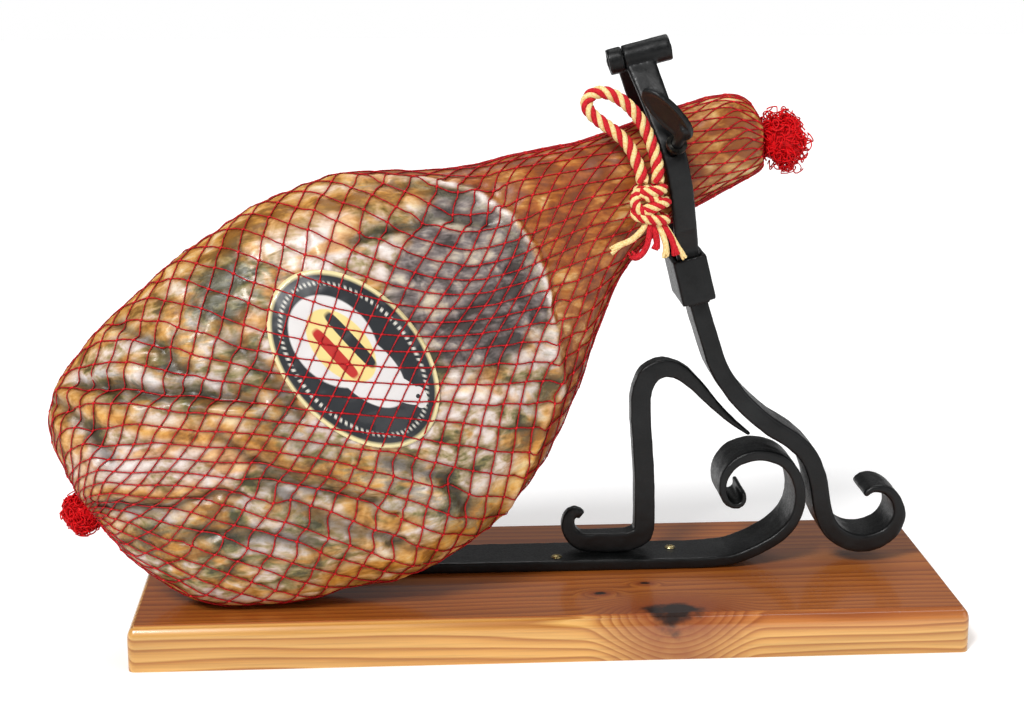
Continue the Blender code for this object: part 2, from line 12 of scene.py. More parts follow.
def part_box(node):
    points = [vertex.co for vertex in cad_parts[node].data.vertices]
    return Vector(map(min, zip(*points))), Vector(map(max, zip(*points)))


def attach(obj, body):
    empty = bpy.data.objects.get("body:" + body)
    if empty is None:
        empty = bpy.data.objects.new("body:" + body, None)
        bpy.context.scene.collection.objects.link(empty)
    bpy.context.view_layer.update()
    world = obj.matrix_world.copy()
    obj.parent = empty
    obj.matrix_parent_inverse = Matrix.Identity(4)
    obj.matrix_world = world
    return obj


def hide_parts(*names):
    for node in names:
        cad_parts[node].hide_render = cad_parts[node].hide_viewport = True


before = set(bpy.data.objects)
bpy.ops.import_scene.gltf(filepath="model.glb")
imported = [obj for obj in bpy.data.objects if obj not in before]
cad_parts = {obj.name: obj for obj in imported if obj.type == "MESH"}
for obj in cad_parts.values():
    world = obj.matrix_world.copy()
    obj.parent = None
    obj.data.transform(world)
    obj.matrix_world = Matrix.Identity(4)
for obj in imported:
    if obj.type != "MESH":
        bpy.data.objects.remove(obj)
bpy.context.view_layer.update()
random.seed(11)

millimetre = 0.001


# camera and light

view = {"place": (-0.1178, -1.5527, 0.5877), "turn": -3.428, "tip": 76.372, "roll": -0.1, "lens": 70.31}
lamps = (
    {"name": "keySun", "from": (-0.62, -0.95, 1.05), "spread": 16, "power": 2.6},
    {"name": "fillSun", "from": (1.0, -0.8, 0.5), "spread": 40, "power": 0.45},
    {"name": "topSun", "from": (0.3, 0.9, 1.6), "spread": 40, "power": 0.7},
)
room = {"light": 0.40, "mirrored": 0.13, "seen": 1.0, "floorLift": 0.2}

scene = bpy.context.scene
scene.view_settings.view_transform = "Standard"
cameraData = bpy.data.cameras.new("camera")
cameraData.lens = view["lens"]
camera = bpy.data.objects.new("camera", cameraData)
scene.collection.objects.link(camera)
camera.matrix_world = (
    Matrix.Translation(view["place"])
    @ Matrix.Rotation(math.radians(view["turn"]), 4, "Z")
    @ Matrix.Rotation(math.radians(view["tip"]), 4, "X")
    @ Matrix.Rotation(math.radians(view["roll"]), 4, "Z")
)
scene.camera = camera

for lamp in lamps:
    lampData = bpy.data.lights.new(lamp["name"], "SUN")
    lampData.energy = lamp["power"]
    lampData.angle = math.radians(lamp["spread"])
    lampObject = bpy.data.objects.new(lamp["name"], lampData)
    scene.collection.objects.link(lampObject)
    lampObject.rotation_euler = Vector(lamp["from"]).to_track_quat("Z", "Y").to_euler()

world = bpy.data.worlds.new("studio")
world.use_nodes = True
scene.world = world
world.node_tree.nodes["Background"].inputs["Color"].default_value = (1, 1, 1, 1)


# materials

def colour(hexText):
    parts = [int(hexText[i:i + 2], 16) / 255 for i in (1, 3, 5)]
    linear = [p / 12.92 if p <= 0.04045 else ((p + 0.055) / 1.055) ** 2.4 for p in parts]
    return (*linear, 1.0)


def newMaterial(name):
    made = bpy.data.materials.new(name)
    made.use_nodes = True
    return made, made.node_tree.nodes["Principled BSDF"]


def feed(node, inputs):  # a node given as a value means its first output in use
    for name, value in inputs.items():
        if isinstance(value, bpy.types.Node):
            value = next(output for output in value.outputs if output.enabled)
        if isinstance(value, bpy.types.NodeSocket):
            node.id_data.links.new(value, node.inputs[name])
        else:
            node.inputs[name].default_value = value


def addNode(material, kind, inputs=None, stops=(), **settings):  # stops are a ramp's places and colours
    node = material.node_tree.nodes.new("ShaderNode" + kind)
    for name, value in settings.items():
        setattr(node, name, value)
    if stops:
        elements = node.color_ramp.elements
        while len(elements) < len(stops):
            elements.new(0.5)
        for element, (place, shade) in zip(elements, stops):
            element.position = place
            element.color = colour(shade) if isinstance(shade, str) else (shade, shade, shade, 1)
    feed(node, inputs or {})
    return node


ironLook = {"dents": 13, "scale": 1.6, "patches": 30, "specular": 0.36,
            "tones": ((0.35, "#060707"), (0.55, "#0C0D0E"), (0.75, "#151717"))}


def blackedIron():
    # Mild steel bar, hammered at the forge and blacked: soft broad dents, a fine scale, a dull sheen.
    material, shader = newMaterial("blackedForgedSteel")
    place = addNode(material, "TexCoord").outputs["Object"]
    dents = addNode(material, "TexVoronoi",
                    {"Vector": place, "Scale": 1000 / ironLook["dents"], "Smoothness": 0.9},
                    feature="SMOOTH_F1")
    scale = addNode(material, "TexNoise", {"Vector": place, "Scale": 1000 / ironLook["scale"], "Detail": 4})
    patches = addNode(material, "TexNoise",
                      {"Vector": place, "Detail": 5, "Scale": 1000 / ironLook["patches"]})
    tone = addNode(material, "ValToRGB", {"Fac": patches}, ironLook["tones"])
    gloss = addNode(material, "MapRange",
                    {"Value": scale, "From Min": 0.3, "From Max": 0.7, "To Min": 0.30, "To Max": 0.52})
    coarse = addNode(material, "Bump", {"Height": dents, "Strength": 0.45, "Distance": 0.9 * millimetre})
    fine = addNode(material, "Bump",
                   {"Height": scale, "Strength": 0.25, "Distance": 0.25 * millimetre, "Normal": coarse})
    feed(shader, {"Base Color": tone, "Roughness": gloss, "Normal": fine,
                  "Specular IOR Level": ironLook["specular"]})
    return material


def brightMetal(name, dull, shade, bright, grit):
    # Plated or rubbed steel: metal, with fine turned scratches and duller spots.
    material, shader = newMaterial(name)
    place = addNode(material, "TexCoord").outputs["Object"]
    rub = addNode(material, "TexNoise", {"Vector": place, "Scale": 1000 / grit, "Detail": 5})
    tone = addNode(material, "ValToRGB", {"Fac": rub}, ((0.3, dull), (0.5, shade), (0.8, bright)))
    gloss = addNode(material, "MapRange", {"Value": rub, "To Min": 0.18, "To Max": 0.5})
    feed(shader, {"Base Color": tone, "Roughness": gloss, "Metallic": 1.0})
    return material


# A knot's x and y, its heart's radius and how far it bends the rings are in metres, the rings in millimetres.
boardLook = {
    "knots": ((0.094, -0.103, 0.0190, 0.060), (0.041, -0.063, 0.0045, 0.020), (0.079, -0.042, 0.0035, 0.016)),
    "ringWidth": 5.5, "pith": (0.012, -0.075), "topStart": 0.0345,
    "front": ((0.0, "#E0AC60"), (0.55, "#D2974A"), (0.86, "#AE6E2C"), (1.0, "#DBA556")),
    # The top's tones are the same pine painted darker and redder: painted shade and painted reflection.
    "top": ((0.0, "#B56A28"), (0.5, "#A85C22"), (0.86, "#904A1A"), (1.0, "#AE6224")),
    "heartwood": "#C8703C", "stain": "#843A12", "knotHeart": "#24120A",
}


def varnishedPine():
    # Flat-sawn pine under gloss varnish: growth rings round a pith below the board, knots; the darker, redder
    # top is painted shade and painted reflection.
    material, shader = newMaterial("varnishedKnottyPine")
    place = addNode(material, "TexCoord").outputs["Object"]
    slow = addNode(material, "Mapping", {"Vector": place, "Scale": (0.45, 4.0, 4.0)})
    sway = addNode(material, "TexNoise", {"Vector": slow, "Scale": 3.2, "Detail": 3})
    alongX, alongY, alongZ = addNode(material, "SeparateXYZ", {"Vector": place}).outputs
    across = addNode(material, "Math", {0: alongY, 1: boardLook["pith"][0]}, operation="SUBTRACT")
    above = addNode(material, "Math", {0: alongZ, 1: boardLook["pith"][1]}, operation="SUBTRACT")
    radial = addNode(material, "CombineXYZ", {"X": across, "Y": above})
    radius = addNode(material, "VectorMath", {0: radial}, operation="LENGTH")
    swayed = addNode(material, "Math", {0: sway, 1: 34 * millimetre, 2: radius}, operation="MULTIPLY_ADD")
    rough = addNode(material, "TexNoise", {"Vector": place, "Scale": 1000 / 11, "Detail": 5})
    heart = stain = 0.0
    for x, y, core, reach in boardLook["knots"]:
        offset = addNode(material, "VectorMath", {0: place, 1: (x, y, 0.034)}, operation="SUBTRACT")
        shaped = addNode(material, "VectorMath", {0: offset, 1: (0.75, 1.25, 0.6)}, operation="MULTIPLY")
        gap = addNode(material, "VectorMath", {0: shaped}, operation="LENGTH")
        near = addNode(material, "MapRange",
                       {"Value": gap, "From Max": reach, "To Min": 1.0, "To Max": 0.0},
                       interpolation_type="SMOOTHERSTEP")
        swayed = addNode(material, "Math", {0: near, 1: reach * 0.62, 2: swayed}, operation="MULTIPLY_ADD")
        ragged = addNode(material, "Math", {0: rough, 1: -core * 1.1, 2: gap}, operation="MULTIPLY_ADD")
        middle = addNode(material, "MapRange",
                         {"Value": ragged, "From Max": core * 0.55, "To Min": 1.0,
                          "To Max": 0.0}, interpolation_type="SMOOTHSTEP")
        halo = addNode(material, "MapRange",
                       {"Value": ragged, "From Max": core * 2.6, "To Min": 0.8,
                        "To Max": 0.0}, interpolation_type="SMOOTHSTEP")
        heart = addNode(material, "Math", {0: heart, 1: middle}, operation="MAXIMUM")
        stain = addNode(material, "Math", {0: stain, 1: halo}, operation="MAXIMUM")
    turns = addNode(material, "Math", {0: swayed, 1: 1000 / boardLook["ringWidth"]}, operation="MULTIPLY")
    ring = addNode(material, "Math", {0: turns}, operation="FRACT")
    front = addNode(material, "ValToRGB", {"Fac": ring}, boardLook["front"])
    # The top face gets these darker, redder tones as painted shade and painted reflection.
    top = addNode(material, "ValToRGB", {"Fac": ring}, boardLook["top"])
    onTop = addNode(material, "MapRange",
                    {"Value": alongZ, "From Min": boardLook["topStart"],
                     "From Max": boardLook["topStart"] + 0.0012})
    fibre = addNode(material, "Mapping", {"Vector": place, "Scale": (12.0, 700.0, 700.0)})
    fibres = addNode(material, "TexNoise", {"Vector": fibre, "Scale": 1.0, "Detail": 6})
    grain = addNode(material, "ValToRGB", {"Fac": fibres}, ((0.3, 0.72), (0.55, 1.0)))
    broad = addNode(material, "TexNoise", {"Vector": slow, "Scale": 7.0, "Detail": 2})
    shade = addNode(material, "ValToRGB", {"Fac": broad}, ((0.35, 0.78), (0.6, 1.0)))
    # Redder heartwood towards the end and the upper half of the sides, but not on the top.
    height = addNode(material, "Math", {0: sway, 1: 14 * millimetre, 2: alongZ}, operation="MULTIPLY_ADD")
    heartEnd = addNode(material, "MapRange",
                       {"Value": alongX, "From Max": 0.11, "To Max": 0.62},
                       interpolation_type="SMOOTHSTEP")
    heartHigh = addNode(material, "MapRange",
                        {"Value": height, "From Min": 0.023, "From Max": 0.041},
                        interpolation_type="SMOOTHSTEP")
    belowTop = addNode(material, "Math", {0: heartHigh, 1: onTop}, operation="SUBTRACT")
    heartwood = addNode(material, "Math", {0: heartEnd, 1: belowTop}, operation="MULTIPLY", use_clamp=True)
    wood = front
    for amount, laid, blend in ((onTop, top, "MIX"), (0.6, grain, "MULTIPLY"), (0.7, shade, "MULTIPLY"),
                                (heartwood, colour(boardLook["heartwood"]), "MULTIPLY"),
                                (stain, colour(boardLook["stain"]), "MIX"),
                                (heart, colour(boardLook["knotHeart"]), "MIX")):
        wood = addNode(material, "Mix", {0: amount, 6: wood, 7: laid}, data_type="RGBA", blend_type=blend)
    bump = addNode(material, "Bump", {"Height": fibres, "Strength": 0.12, "Distance": 0.15 * millimetre})
    feed(shader, {"Base Color": wood, "Normal": bump, "Roughness": 0.34, "Coat Weight": 0.8,
                  "Coat Roughness": 0.12})
    return material


# Each pattern's width in millimetres, how far it is drawn out along the ham, detail, warp, slope and shift.
rindPatterns = {"blotch": (34, 1.5, 4, 0.5, 24, 0.0), "mottle": (15, 1.6, 3, 0.7, 20, 0.0),
                "streak": (6.5, 3.4, 2, 0.6, 24, 3.1), "warmth": (34, 2.0, 3, 0.6, 26, 7.7)}
rindTones = {
    "fat": ((0.32, "#4A4728"), (0.41, "#807646"), (0.47, "#A6946C"), (0.53, "#C4AF94"), (0.60, "#DDCEC4"),
            (0.72, "#EFE7E2")),
    "golden": ((0.34, "#98621E"), (0.46, "#CC8A32"), (0.57, "#E2A84C"), (0.72, "#EECD8C")),
    "lean": ((0.36, "#423B38"), (0.45, "#6A615F"), (0.53, "#8B817E"), (0.60, "#B0A599"), (0.70, "#D6CAB2")),
    "skin": ((0.34, "#7C3A12"), (0.45, "#9A4F1A"), (0.55, "#B06526"), (0.65, "#C38340"), (0.78, "#D6B076")),
    "tip": ((0.36, "#8A4C1C"), (0.48, "#B87E3C"), (0.6, "#DDBC78"), (0.75, "#EBDCB0")),
    "mould": ((0.35, "#3F4032"), (0.62, "#7C7A64")),
    "grain": ((0.32, 0.72), (0.5, 0.95), (0.72, 1.0)),
}


def curedRind():
    # Dried ham: greasy fat, leathery skin and grey lean under a mould bloom; the maps say which is where, and
    # carry painted shade in the folds, under the threads and just inside the rim.
    material, shader = newMaterial("curedHamRind")
    place = addNode(material, "TexCoord").outputs["Object"]
    channels = []
    for name in ("fleshMap", "bloomAndShadowMap", "pressMap"):
        painted = addNode(material, "Attribute", attribute_name=name)
        channels += addNode(material, "SeparateColor", {"Color": painted}).outputs[:3]
    # The third and seventh channels are painted shade in the folds and under the threads; the fourth holds
    # mould and painted shadow just inside the rim.
    lean, skin, creaseShade, mould, cream, gold, threadShade, tip = channels[:8]
    pattern = {}
    for name, (width, stretch, detail, warp, slope, shift) in rindPatterns.items():
        laid = addNode(material, "Mapping",
                       {"Vector": place, "Rotation": (0, math.radians(slope - 27), 0),
                        "Scale": (stretch, 1.0, 1.0), "Location": (shift, shift, 0)}, vector_type="TEXTURE")
        pattern[name] = addNode(material, "TexNoise",
                                {"Vector": laid, "Scale": 1000 / width, "Detail": detail, "Roughness": 0.62,
                                 "Distortion": warp})
    grain = addNode(material, "TexNoise",
                    {"Vector": place, "Scale": 1000 / 1.9, "Detail": 5, "Roughness": 0.7})
    mixed = addNode(material, "Math", {0: pattern["blotch"], 1: 1.15, 2: -0.075}, operation="MULTIPLY_ADD")
    for name, amount in (("mottle", 0.60), ("streak", 0.40)):
        offset = addNode(material, "Math", {0: pattern[name], 1: 0.5}, operation="SUBTRACT")
        mixed = addNode(material, "Math", {0: offset, 1: amount, 2: mixed}, operation="MULTIPLY_ADD")
    fatTone = mixed
    # the mould channel darkens the fat: real mould, and the painted shadow just inside the rim
    for layer, amount in ((mould, -0.09), (cream, 0.17)):
        fatTone = addNode(material, "Math", {0: layer, 1: amount, 2: fatTone}, operation="MULTIPLY_ADD")
    drivers = {"fat": fatTone, "mould": grain, "grain": grain}
    tone = {name: addNode(material, "ValToRGB", {"Fac": drivers.get(name, mixed)}, stops)
            for name, stops in rindTones.items()}
    share = {}
    for name, value, low, high, least, most in (("gold", "warmth", 0.47, 0.60, 0.0, 0.78),
                                                ("dark", "streak", 0.60, 0.46, 0.0, 0.35),
                                                ("mould", "streak", 0.42, 0.60, 0.0, 0.75),
                                                ("gloss", "mottle", 0.3, 0.7, 0.48, 0.28)):
        share[name] = addNode(material, "MapRange",
                              {"Value": pattern[value], "From Min": low, "From Max": high, "To Min": least,
                               "To Max": most}, interpolation_type="SMOOTHSTEP")
    body = tone["fat"]
    for laid, blend, operation, first, second in (
            (tone["golden"], "MIX", "MAXIMUM", share["gold"], gold),
            (tone["lean"], "MIX", "MULTIPLY", lean, 1.0),
            (tone["skin"], "MIX", "MULTIPLY", skin, 1.0),
            (colour("#6E3A16"), "MIX", "MULTIPLY", skin, share["dark"]),
            (tone["tip"], "MIX", "MULTIPLY", tip, 1.0),
            # the mould channel also holds painted shadow just inside the rim
            (tone["mould"], "MIX", "MULTIPLY", mould, share["mould"]),
            (tone["grain"], "MULTIPLY", "MULTIPLY", 0.5, 1.0),
            # painted shade darkening the folds
            (colour("#2C271C"), "MIX", "MULTIPLY", creaseShade, 0.85),
            # painted shade where the threads press into the rind
            (colour("#A8745A"), "MULTIPLY", "MULTIPLY", threadShade, 0.6)):
        amount = addNode(material, "Math", {0: first, 1: second}, operation=operation)
        body = addNode(material, "Mix", {0: amount, 6: body, 7: laid}, data_type="RGBA", blend_type=blend)
    bump = {}
    for height, strength, deep in ((pattern["mottle"], 0.3, 2.0), (pattern["streak"], 0.3, 0.9),
                                   (grain, 0.2, 0.3)):
        bump = {"Normal": addNode(material, "Bump",
                                  {"Height": height, "Strength": strength, "Distance": deep * millimetre,
                                   **bump})}
    feed(shader, {"Base Color": body, "Roughness": share["gloss"], **bump})
    return material


def yarn(name, dark, light, pitch, roughness):
    # Spun thread: fibres across it in slightly different tones.
    material, shader = newMaterial(name)
    place = addNode(material, "TexCoord").outputs["Object"]
    fibres = addNode(material, "TexNoise", {"Vector": place, "Scale": 1000 / pitch, "Detail": 4})
    tone = addNode(material, "ValToRGB", {"Fac": fibres}, ((0.32, dark), (0.62, light)))
    bump = addNode(material, "Bump", {"Height": fibres, "Strength": 0.5, "Distance": 0.3 * millimetre})
    feed(shader, {"Base Color": tone, "Normal": bump, "Roughness": roughness, "Specular IOR Level": 0.2})
    return material


labelLook = {"centre": (0.2425, 0.0090), "half": (0.0775, 0.0500), "turn": -76, "lift": 1.0, "thick": 0.35,
             "rim": "#E6D6A0", "ticks": 84, "tickInk": "#CFCBC0",
             "ovalEdge": (1.02, 0.98), "barEdge": (1.25, 0.8)}
# Each field of ink in the order it is laid: shape, centre and half sizes in half labels, turn and colour.
labelFields = (
    ("oval", (0, 0), (0.96, 0.945), 0, "#24272B"),
    ("oval", (-0.26, -0.04), (0.50, 0.56), 0, "#DAD6D4"),  # a plain ham in white: body, shank and its end
    ("oval", (0.16, 0.04), (0.46, 0.38), 14, "#DAD6D4"),
    ("oval", (0.50, 0.20), (0.30, 0.15), 34, "#DAD6D4"),
    ("oval", (0.70, 0.34), (0.09, 0.13), 34, "#DAD6D4"),
    ("oval", (-0.18, 0.0), (0.42, 0.38), 0, "#E6CF86"),
    ("bar", (-0.16, 0.16), (0.34, 0.08), 0, "#26282A"),
    ("bar", (-0.16, -0.14), (0.30, 0.08), 0, "#B5261F"),
    ("oval", (0.68, 0.33), (0.022, 0.033), 0, "#26282A"),
)


def printedLabel():
    # Coated paper, offset printed: flat fields of ink under a slight gloss. The oval's own UV places them.
    material, shader = newMaterial("printedCoatedPaper")
    spot = addNode(material, "UVMap", uv_map="labelUV")

    def field(shape, centre, size, turn=0):  # 1 inside an oval or a rounded bar, 0 outside
        laid = addNode(material, "Mapping",
                       {"Vector": spot, "Location": (*centre, 0), "Scale": (*size, 1),
                        "Rotation": (0, 0, math.radians(turn))}, vector_type="TEXTURE")
        far = addNode(material, "VectorMath", {0: laid}, operation="LENGTH")
        if shape == "bar":
            square = addNode(material, "VectorMath", {0: laid, 1: laid}, operation="MULTIPLY")
            far = addNode(material, "VectorMath", {0: square, 1: square}, operation="DOT_PRODUCT")
        outer, inner = labelLook[shape + "Edge"]
        return addNode(material, "MapRange", {"Value": far, "From Min": outer, "From Max": inner})

    ink = colour(labelLook["rim"])
    for shape, centre, size, turn, shade in labelFields:
        ink = addNode(material, "Mix",
                      {0: field(shape, centre, size, turn), 6: ink, 7: colour(shade)}, data_type="RGBA")
    # Short pale ticks round the edge, where a label carries its small print.
    along, across, _ = addNode(material, "SeparateXYZ", {"Vector": spot}).outputs
    angle = addNode(material, "Math", {0: across, 1: along}, operation="ARCTAN2")
    beat = addNode(material, "Math", {0: angle, 1: labelLook["ticks"] / (2 * math.pi)}, operation="MULTIPLY")
    part = addNode(material, "Math", {0: beat}, operation="FRACT")
    isTick = addNode(material, "Math", {0: part, 1: 0.5}, operation="GREATER_THAN")
    outer, inner = field("oval", (0, 0), (0.88, 0.84)), field("oval", (0, 0), (0.85, 0.79))
    edge = addNode(material, "Math", {0: outer, 1: inner}, operation="SUBTRACT")
    ticks = addNode(material, "Math", {0: edge, 1: isTick}, operation="MULTIPLY")
    ink = addNode(material, "Mix", {0: ticks, 6: ink, 7: colour(labelLook["tickInk"])}, data_type="RGBA")
    feed(shader, {"Base Color": ink, "Roughness": 0.38, "Coat Weight": 0.3})
    return material


iron = blackedIron()
pine = varnishedPine()
rindLook = curedRind()
netRed = yarn("dyedNetThread", "#7E0812", "#BE1820", 2.5, 0.42)
knotRed = yarn("dyedNetKnot", "#AC0C16", "#E22229", 1.0, 0.4)
tuftRed = yarn("gatheredNetThread", "#B00008", "#E4020E", 1.5, 0.6)
cottonRed = yarn("dyedTwistedCotton", "#A8141C", "#D02530", 1.4, 0.8)
cottonCream = yarn("naturalTwistedCotton", "#E2B86E", "#F6DFA4", 1.4, 0.8)
labelPaper = printedLabel()
wornSteel = brightMetal("rubbedSteel", "#34332F", "#55544F", "#8E8C86", 6.0)
yellowZinc = brightMetal("yellowZincPlate", "#7A6A3E", "#B9A877", "#DDD2A8", 3.0)
print("materials ready")


# shared shaping

def newPiece(name, mesh, material):
    piece = bpy.data.objects.new(name, mesh)
    scene.collection.objects.link(piece)
    mesh.materials.append(material)
    return piece


def meshOf(build, name):  # a bmesh made into a mesh of its own
    mesh = bpy.data.meshes.new(name)
    build.to_mesh(mesh)
    build.free()
    return mesh


def fixed(piece):  # turns the piece's modifiers, or its curve, into plain mesh
    graph = bpy.context.evaluated_depsgraph_get()
    mesh = bpy.data.meshes.new_from_object(piece.evaluated_get(graph))
    if piece.type == "CURVE":
        name = piece.name
        bpy.data.objects.remove(piece)
        again = bpy.data.objects.new(name, mesh)
        scene.collection.objects.link(again)
        return again
    piece.modifiers.clear()
    piece.data = mesh
    return piece


def mergedCopy(node, name, material):
    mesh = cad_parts[node].data.copy()
    mesh.materials.clear()
    build = bmesh.new()
    build.from_mesh(mesh)
    bmesh.ops.remove_doubles(build, verts=build.verts, dist=0.000002)
    build.to_mesh(mesh)
    build.free()
    if "custom_normal" in mesh.attributes:
        mesh.attributes.remove(mesh.attributes["custom_normal"])
    piece = newPiece(name, mesh, material)
    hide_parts(node)
    return piece


def smoothShaded(piece, angle=38):
    piece.data.shade_smooth()
    piece.data.set_sharp_from_angle(angle=math.radians(angle))
    return piece


def points(mesh, normals=False):
    values = np.zeros(len(mesh.vertices) * 3, np.float32)
    (mesh.vertex_normals if normals else mesh.vertices).foreach_get("vector" if normals else "co", values)
    return values.reshape(-1, 3).astype(np.float64)


def setPoints(mesh, places):
    mesh.vertices.foreach_set("co", places.astype(np.float32).ravel())
    mesh.update()


def step(low, high, values):  # 0 below low, 1 above high, smooth between
    t = np.clip((values - low) / (high - low), 0, 1)
    return t * t * (3 - 2 * t)


def smoothPath(route, spacing):  # points along a smooth curve through the route's
    route = [Vector(p) for p in route]
    ends = [2 * route[0] - route[1], *route, 2 * route[-1] - route[-2]]
    path = []
    for before, start, stop, after in zip(ends, ends[1:], ends[2:], ends[3:]):
        count = max(1, round((stop - start).length / spacing))
        for i in range(count):
            t = i / count
            path.append(0.5 * (2 * start + (stop - before) * t
                               + (2 * before - 5 * start + 4 * stop - after) * t ** 2
                               + (3 * start - before - 3 * stop + after) * t ** 3))
    return path + [route[-1]]


def wayAt(path, i):  # the way a path runs at one of its points
    return (path[min(i + 1, len(path) - 1)] - path[max(i - 1, 0)]).normalized()


def threads(name, routes, radius, materials, sides=0):  # one mesh of many round threads
    data = bpy.data.curves.new(name, "CURVE")
    data.dimensions = "3D"
    data.bevel_depth = radius
    data.bevel_resolution = sides
    data.use_fill_caps = True
    for each in materials:
        data.materials.append(each)
    for route, slot in routes:
        spline = data.splines.new("POLY")
        spline.points.add(len(route) - 1)
        spline.points.foreach_set("co", [c for p in route for c in (*p, 1.0)])
        spline.material_index = slot
        spline.use_smooth = True
    piece = bpy.data.objects.new(name, data)
    scene.collection.objects.link(piece)
    piece = fixed(piece)
    piece.data.shade_smooth()
    return piece


# board

board = smoothShaded(mergedCopy("pine_board", "pineBoard", pine), 30)
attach(board, "stand")
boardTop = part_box("pine_board")[1].z
print("board ready")


# ironwork

forge = {"voxel": 1.25, "smooth": 5, "dent": 0.32, "dentWidth": 14.0}


def forged(node, name, dent=1.0):  # edges drawn soft and faces dented by the hammer
    piece = mergedCopy(node, name, iron)
    remesh = piece.modifiers.new("Even skin", "REMESH")
    remesh.mode = "VOXEL"
    remesh.voxel_size = forge["voxel"] * millimetre
    soften = piece.modifiers.new("Drawn soft", "SMOOTH")
    soften.factor = 0.5
    soften.iterations = forge["smooth"]
    fixed(piece)
    mesh = piece.data
    places, normals = points(mesh), points(mesh, True)
    cell = forge["dentWidth"] * millimetre
    depth = [noise.noise(Vector(p) / cell) + 0.4 * noise.noise(Vector(p) / (cell * 0.4)) for p in places]
    setPoints(mesh, places + normals * (np.array(depth)[:, None] * forge["dent"] * dent * millimetre))
    mesh.shade_smooth()
    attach(piece, "stand")
    return piece


for node, name, dent in (("base_bar_scroll", "baseBarScroll", 1.0), ("upright_bar", "uprightBar", 1.0),
                         ("brace_bar", "braceBar", 0.9), ("collar", "collarBand", 0.6),
                         ("front_strap", "frontStrap", 0.7), ("rear_strap", "rearStrap", 0.7),
                         ("hinge_pin", "hingePin", 0.2)):
    forged(node, name, dent)

screw = forged("clamp_screw", "clampScrew", 0.25)
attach(screw, "clamp_screw")

ring = smoothShaded(mergedCopy("screw_ring", "screwRing", wornSteel))
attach(ring, "stand")
print("ironwork ready")


# screws in the base bar

headLook = {"slotLong": 6.4, "slotWide": 1.1, "slotDeep": 1.0, "turns": (20, 110)}

for number in (1, 2):
    head = mergedCopy(f"base_screw_{number}", f"baseScrew{number}", yellowZinc)
    low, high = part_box(f"base_screw_{number}")
    for turn in headLook["turns"]:
        cutter = bmesh.new()
        bmesh.ops.create_cube(cutter, size=1.0)
        bmesh.ops.scale(cutter, vec=[headLook[k] * millimetre for k in ("slotLong", "slotWide", "slotDeep")],
                        verts=cutter.verts)
        bmesh.ops.rotate(cutter, cent=(0, 0, 0), matrix=Matrix.Rotation(math.radians(turn), 3, "Z"),
                         verts=cutter.verts)
        bmesh.ops.translate(cutter, vec=((low.x + high.x) / 2, (low.y + high.y) / 2, high.z),
                            verts=cutter.verts)
        cutObject = bpy.data.objects.new("slotCutter", meshOf(cutter, "slotCutter"))
        scene.collection.objects.link(cutObject)
        cross = head.modifiers.new("Cross", "BOOLEAN")
        cross.operation = "DIFFERENCE"
        cross.solver = "EXACT"
        cross.object = cutObject
        bpy.context.view_layer.update()
        fixed(head)
        bpy.data.objects.remove(cutObject)
    smoothShaded(head)
    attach(head, "stand")
print("screws ready")


# ham: u runs along its axis and v above it, in millimetres, w towards the labelled side

hamStart = Vector((-0.3608, -0.0504, 0.1082))
hamAlong = Vector((0.8851, 0.0952, 0.4556)).normalized()
hamUp = Vector((-0.465, 0.1393, 0.8743)).normalized()
hamSide = hamAlong.cross(hamUp).normalized()
hamLook = {"voxel": 2.3, "smooth": 6, "overBoard": 0.3}

# Each fold: a line of (u, v) points, its width, how far it sinks and how far its lower side swells.
folds = (
    (((50, 90), (97, 60), (128, 40), (165, 20)), 6.0, 6.0, 4.0),
    (((10, 4), (45, -14), (92, -30), (120, -38)), 5.5, 6.0, -3.0),
    (((126, 4), (147, -32), (172, -66), (205, -94)), 5.5, 5.0, -3.5),
    (((140, -42), (168, -90), (205, -133)), 6.0, 4.5, 2.5),
    (((56, 66), (85, 36), (114, 11), (143, -13)), 9.0, -2.6, 0.0),
    (((96, 118), (120, 84), (128, 60)), 6.0, 2.6, 1.5),
    (((170, 62), (182, 24), (186, -10)), 6.0, 2.4, 1.6),
    (((228, -70), (258, -104), (264, -134)), 6.5, 3.5, 2.4),
    (((30, 84), (40, 60), (44, 30)), 6.0, 2.2, 1.5),
    (((66, -50), (110, -70), (150, -100)), 6.0, 2.8, 1.8),
    (((284, 88), (318, 80), (356, 70), (384, 50)), 4.5, 3.6, 0.0),
    (((276, 128), (262, 108), (258, 80)), 6.0, -2.2, 0.0),
)
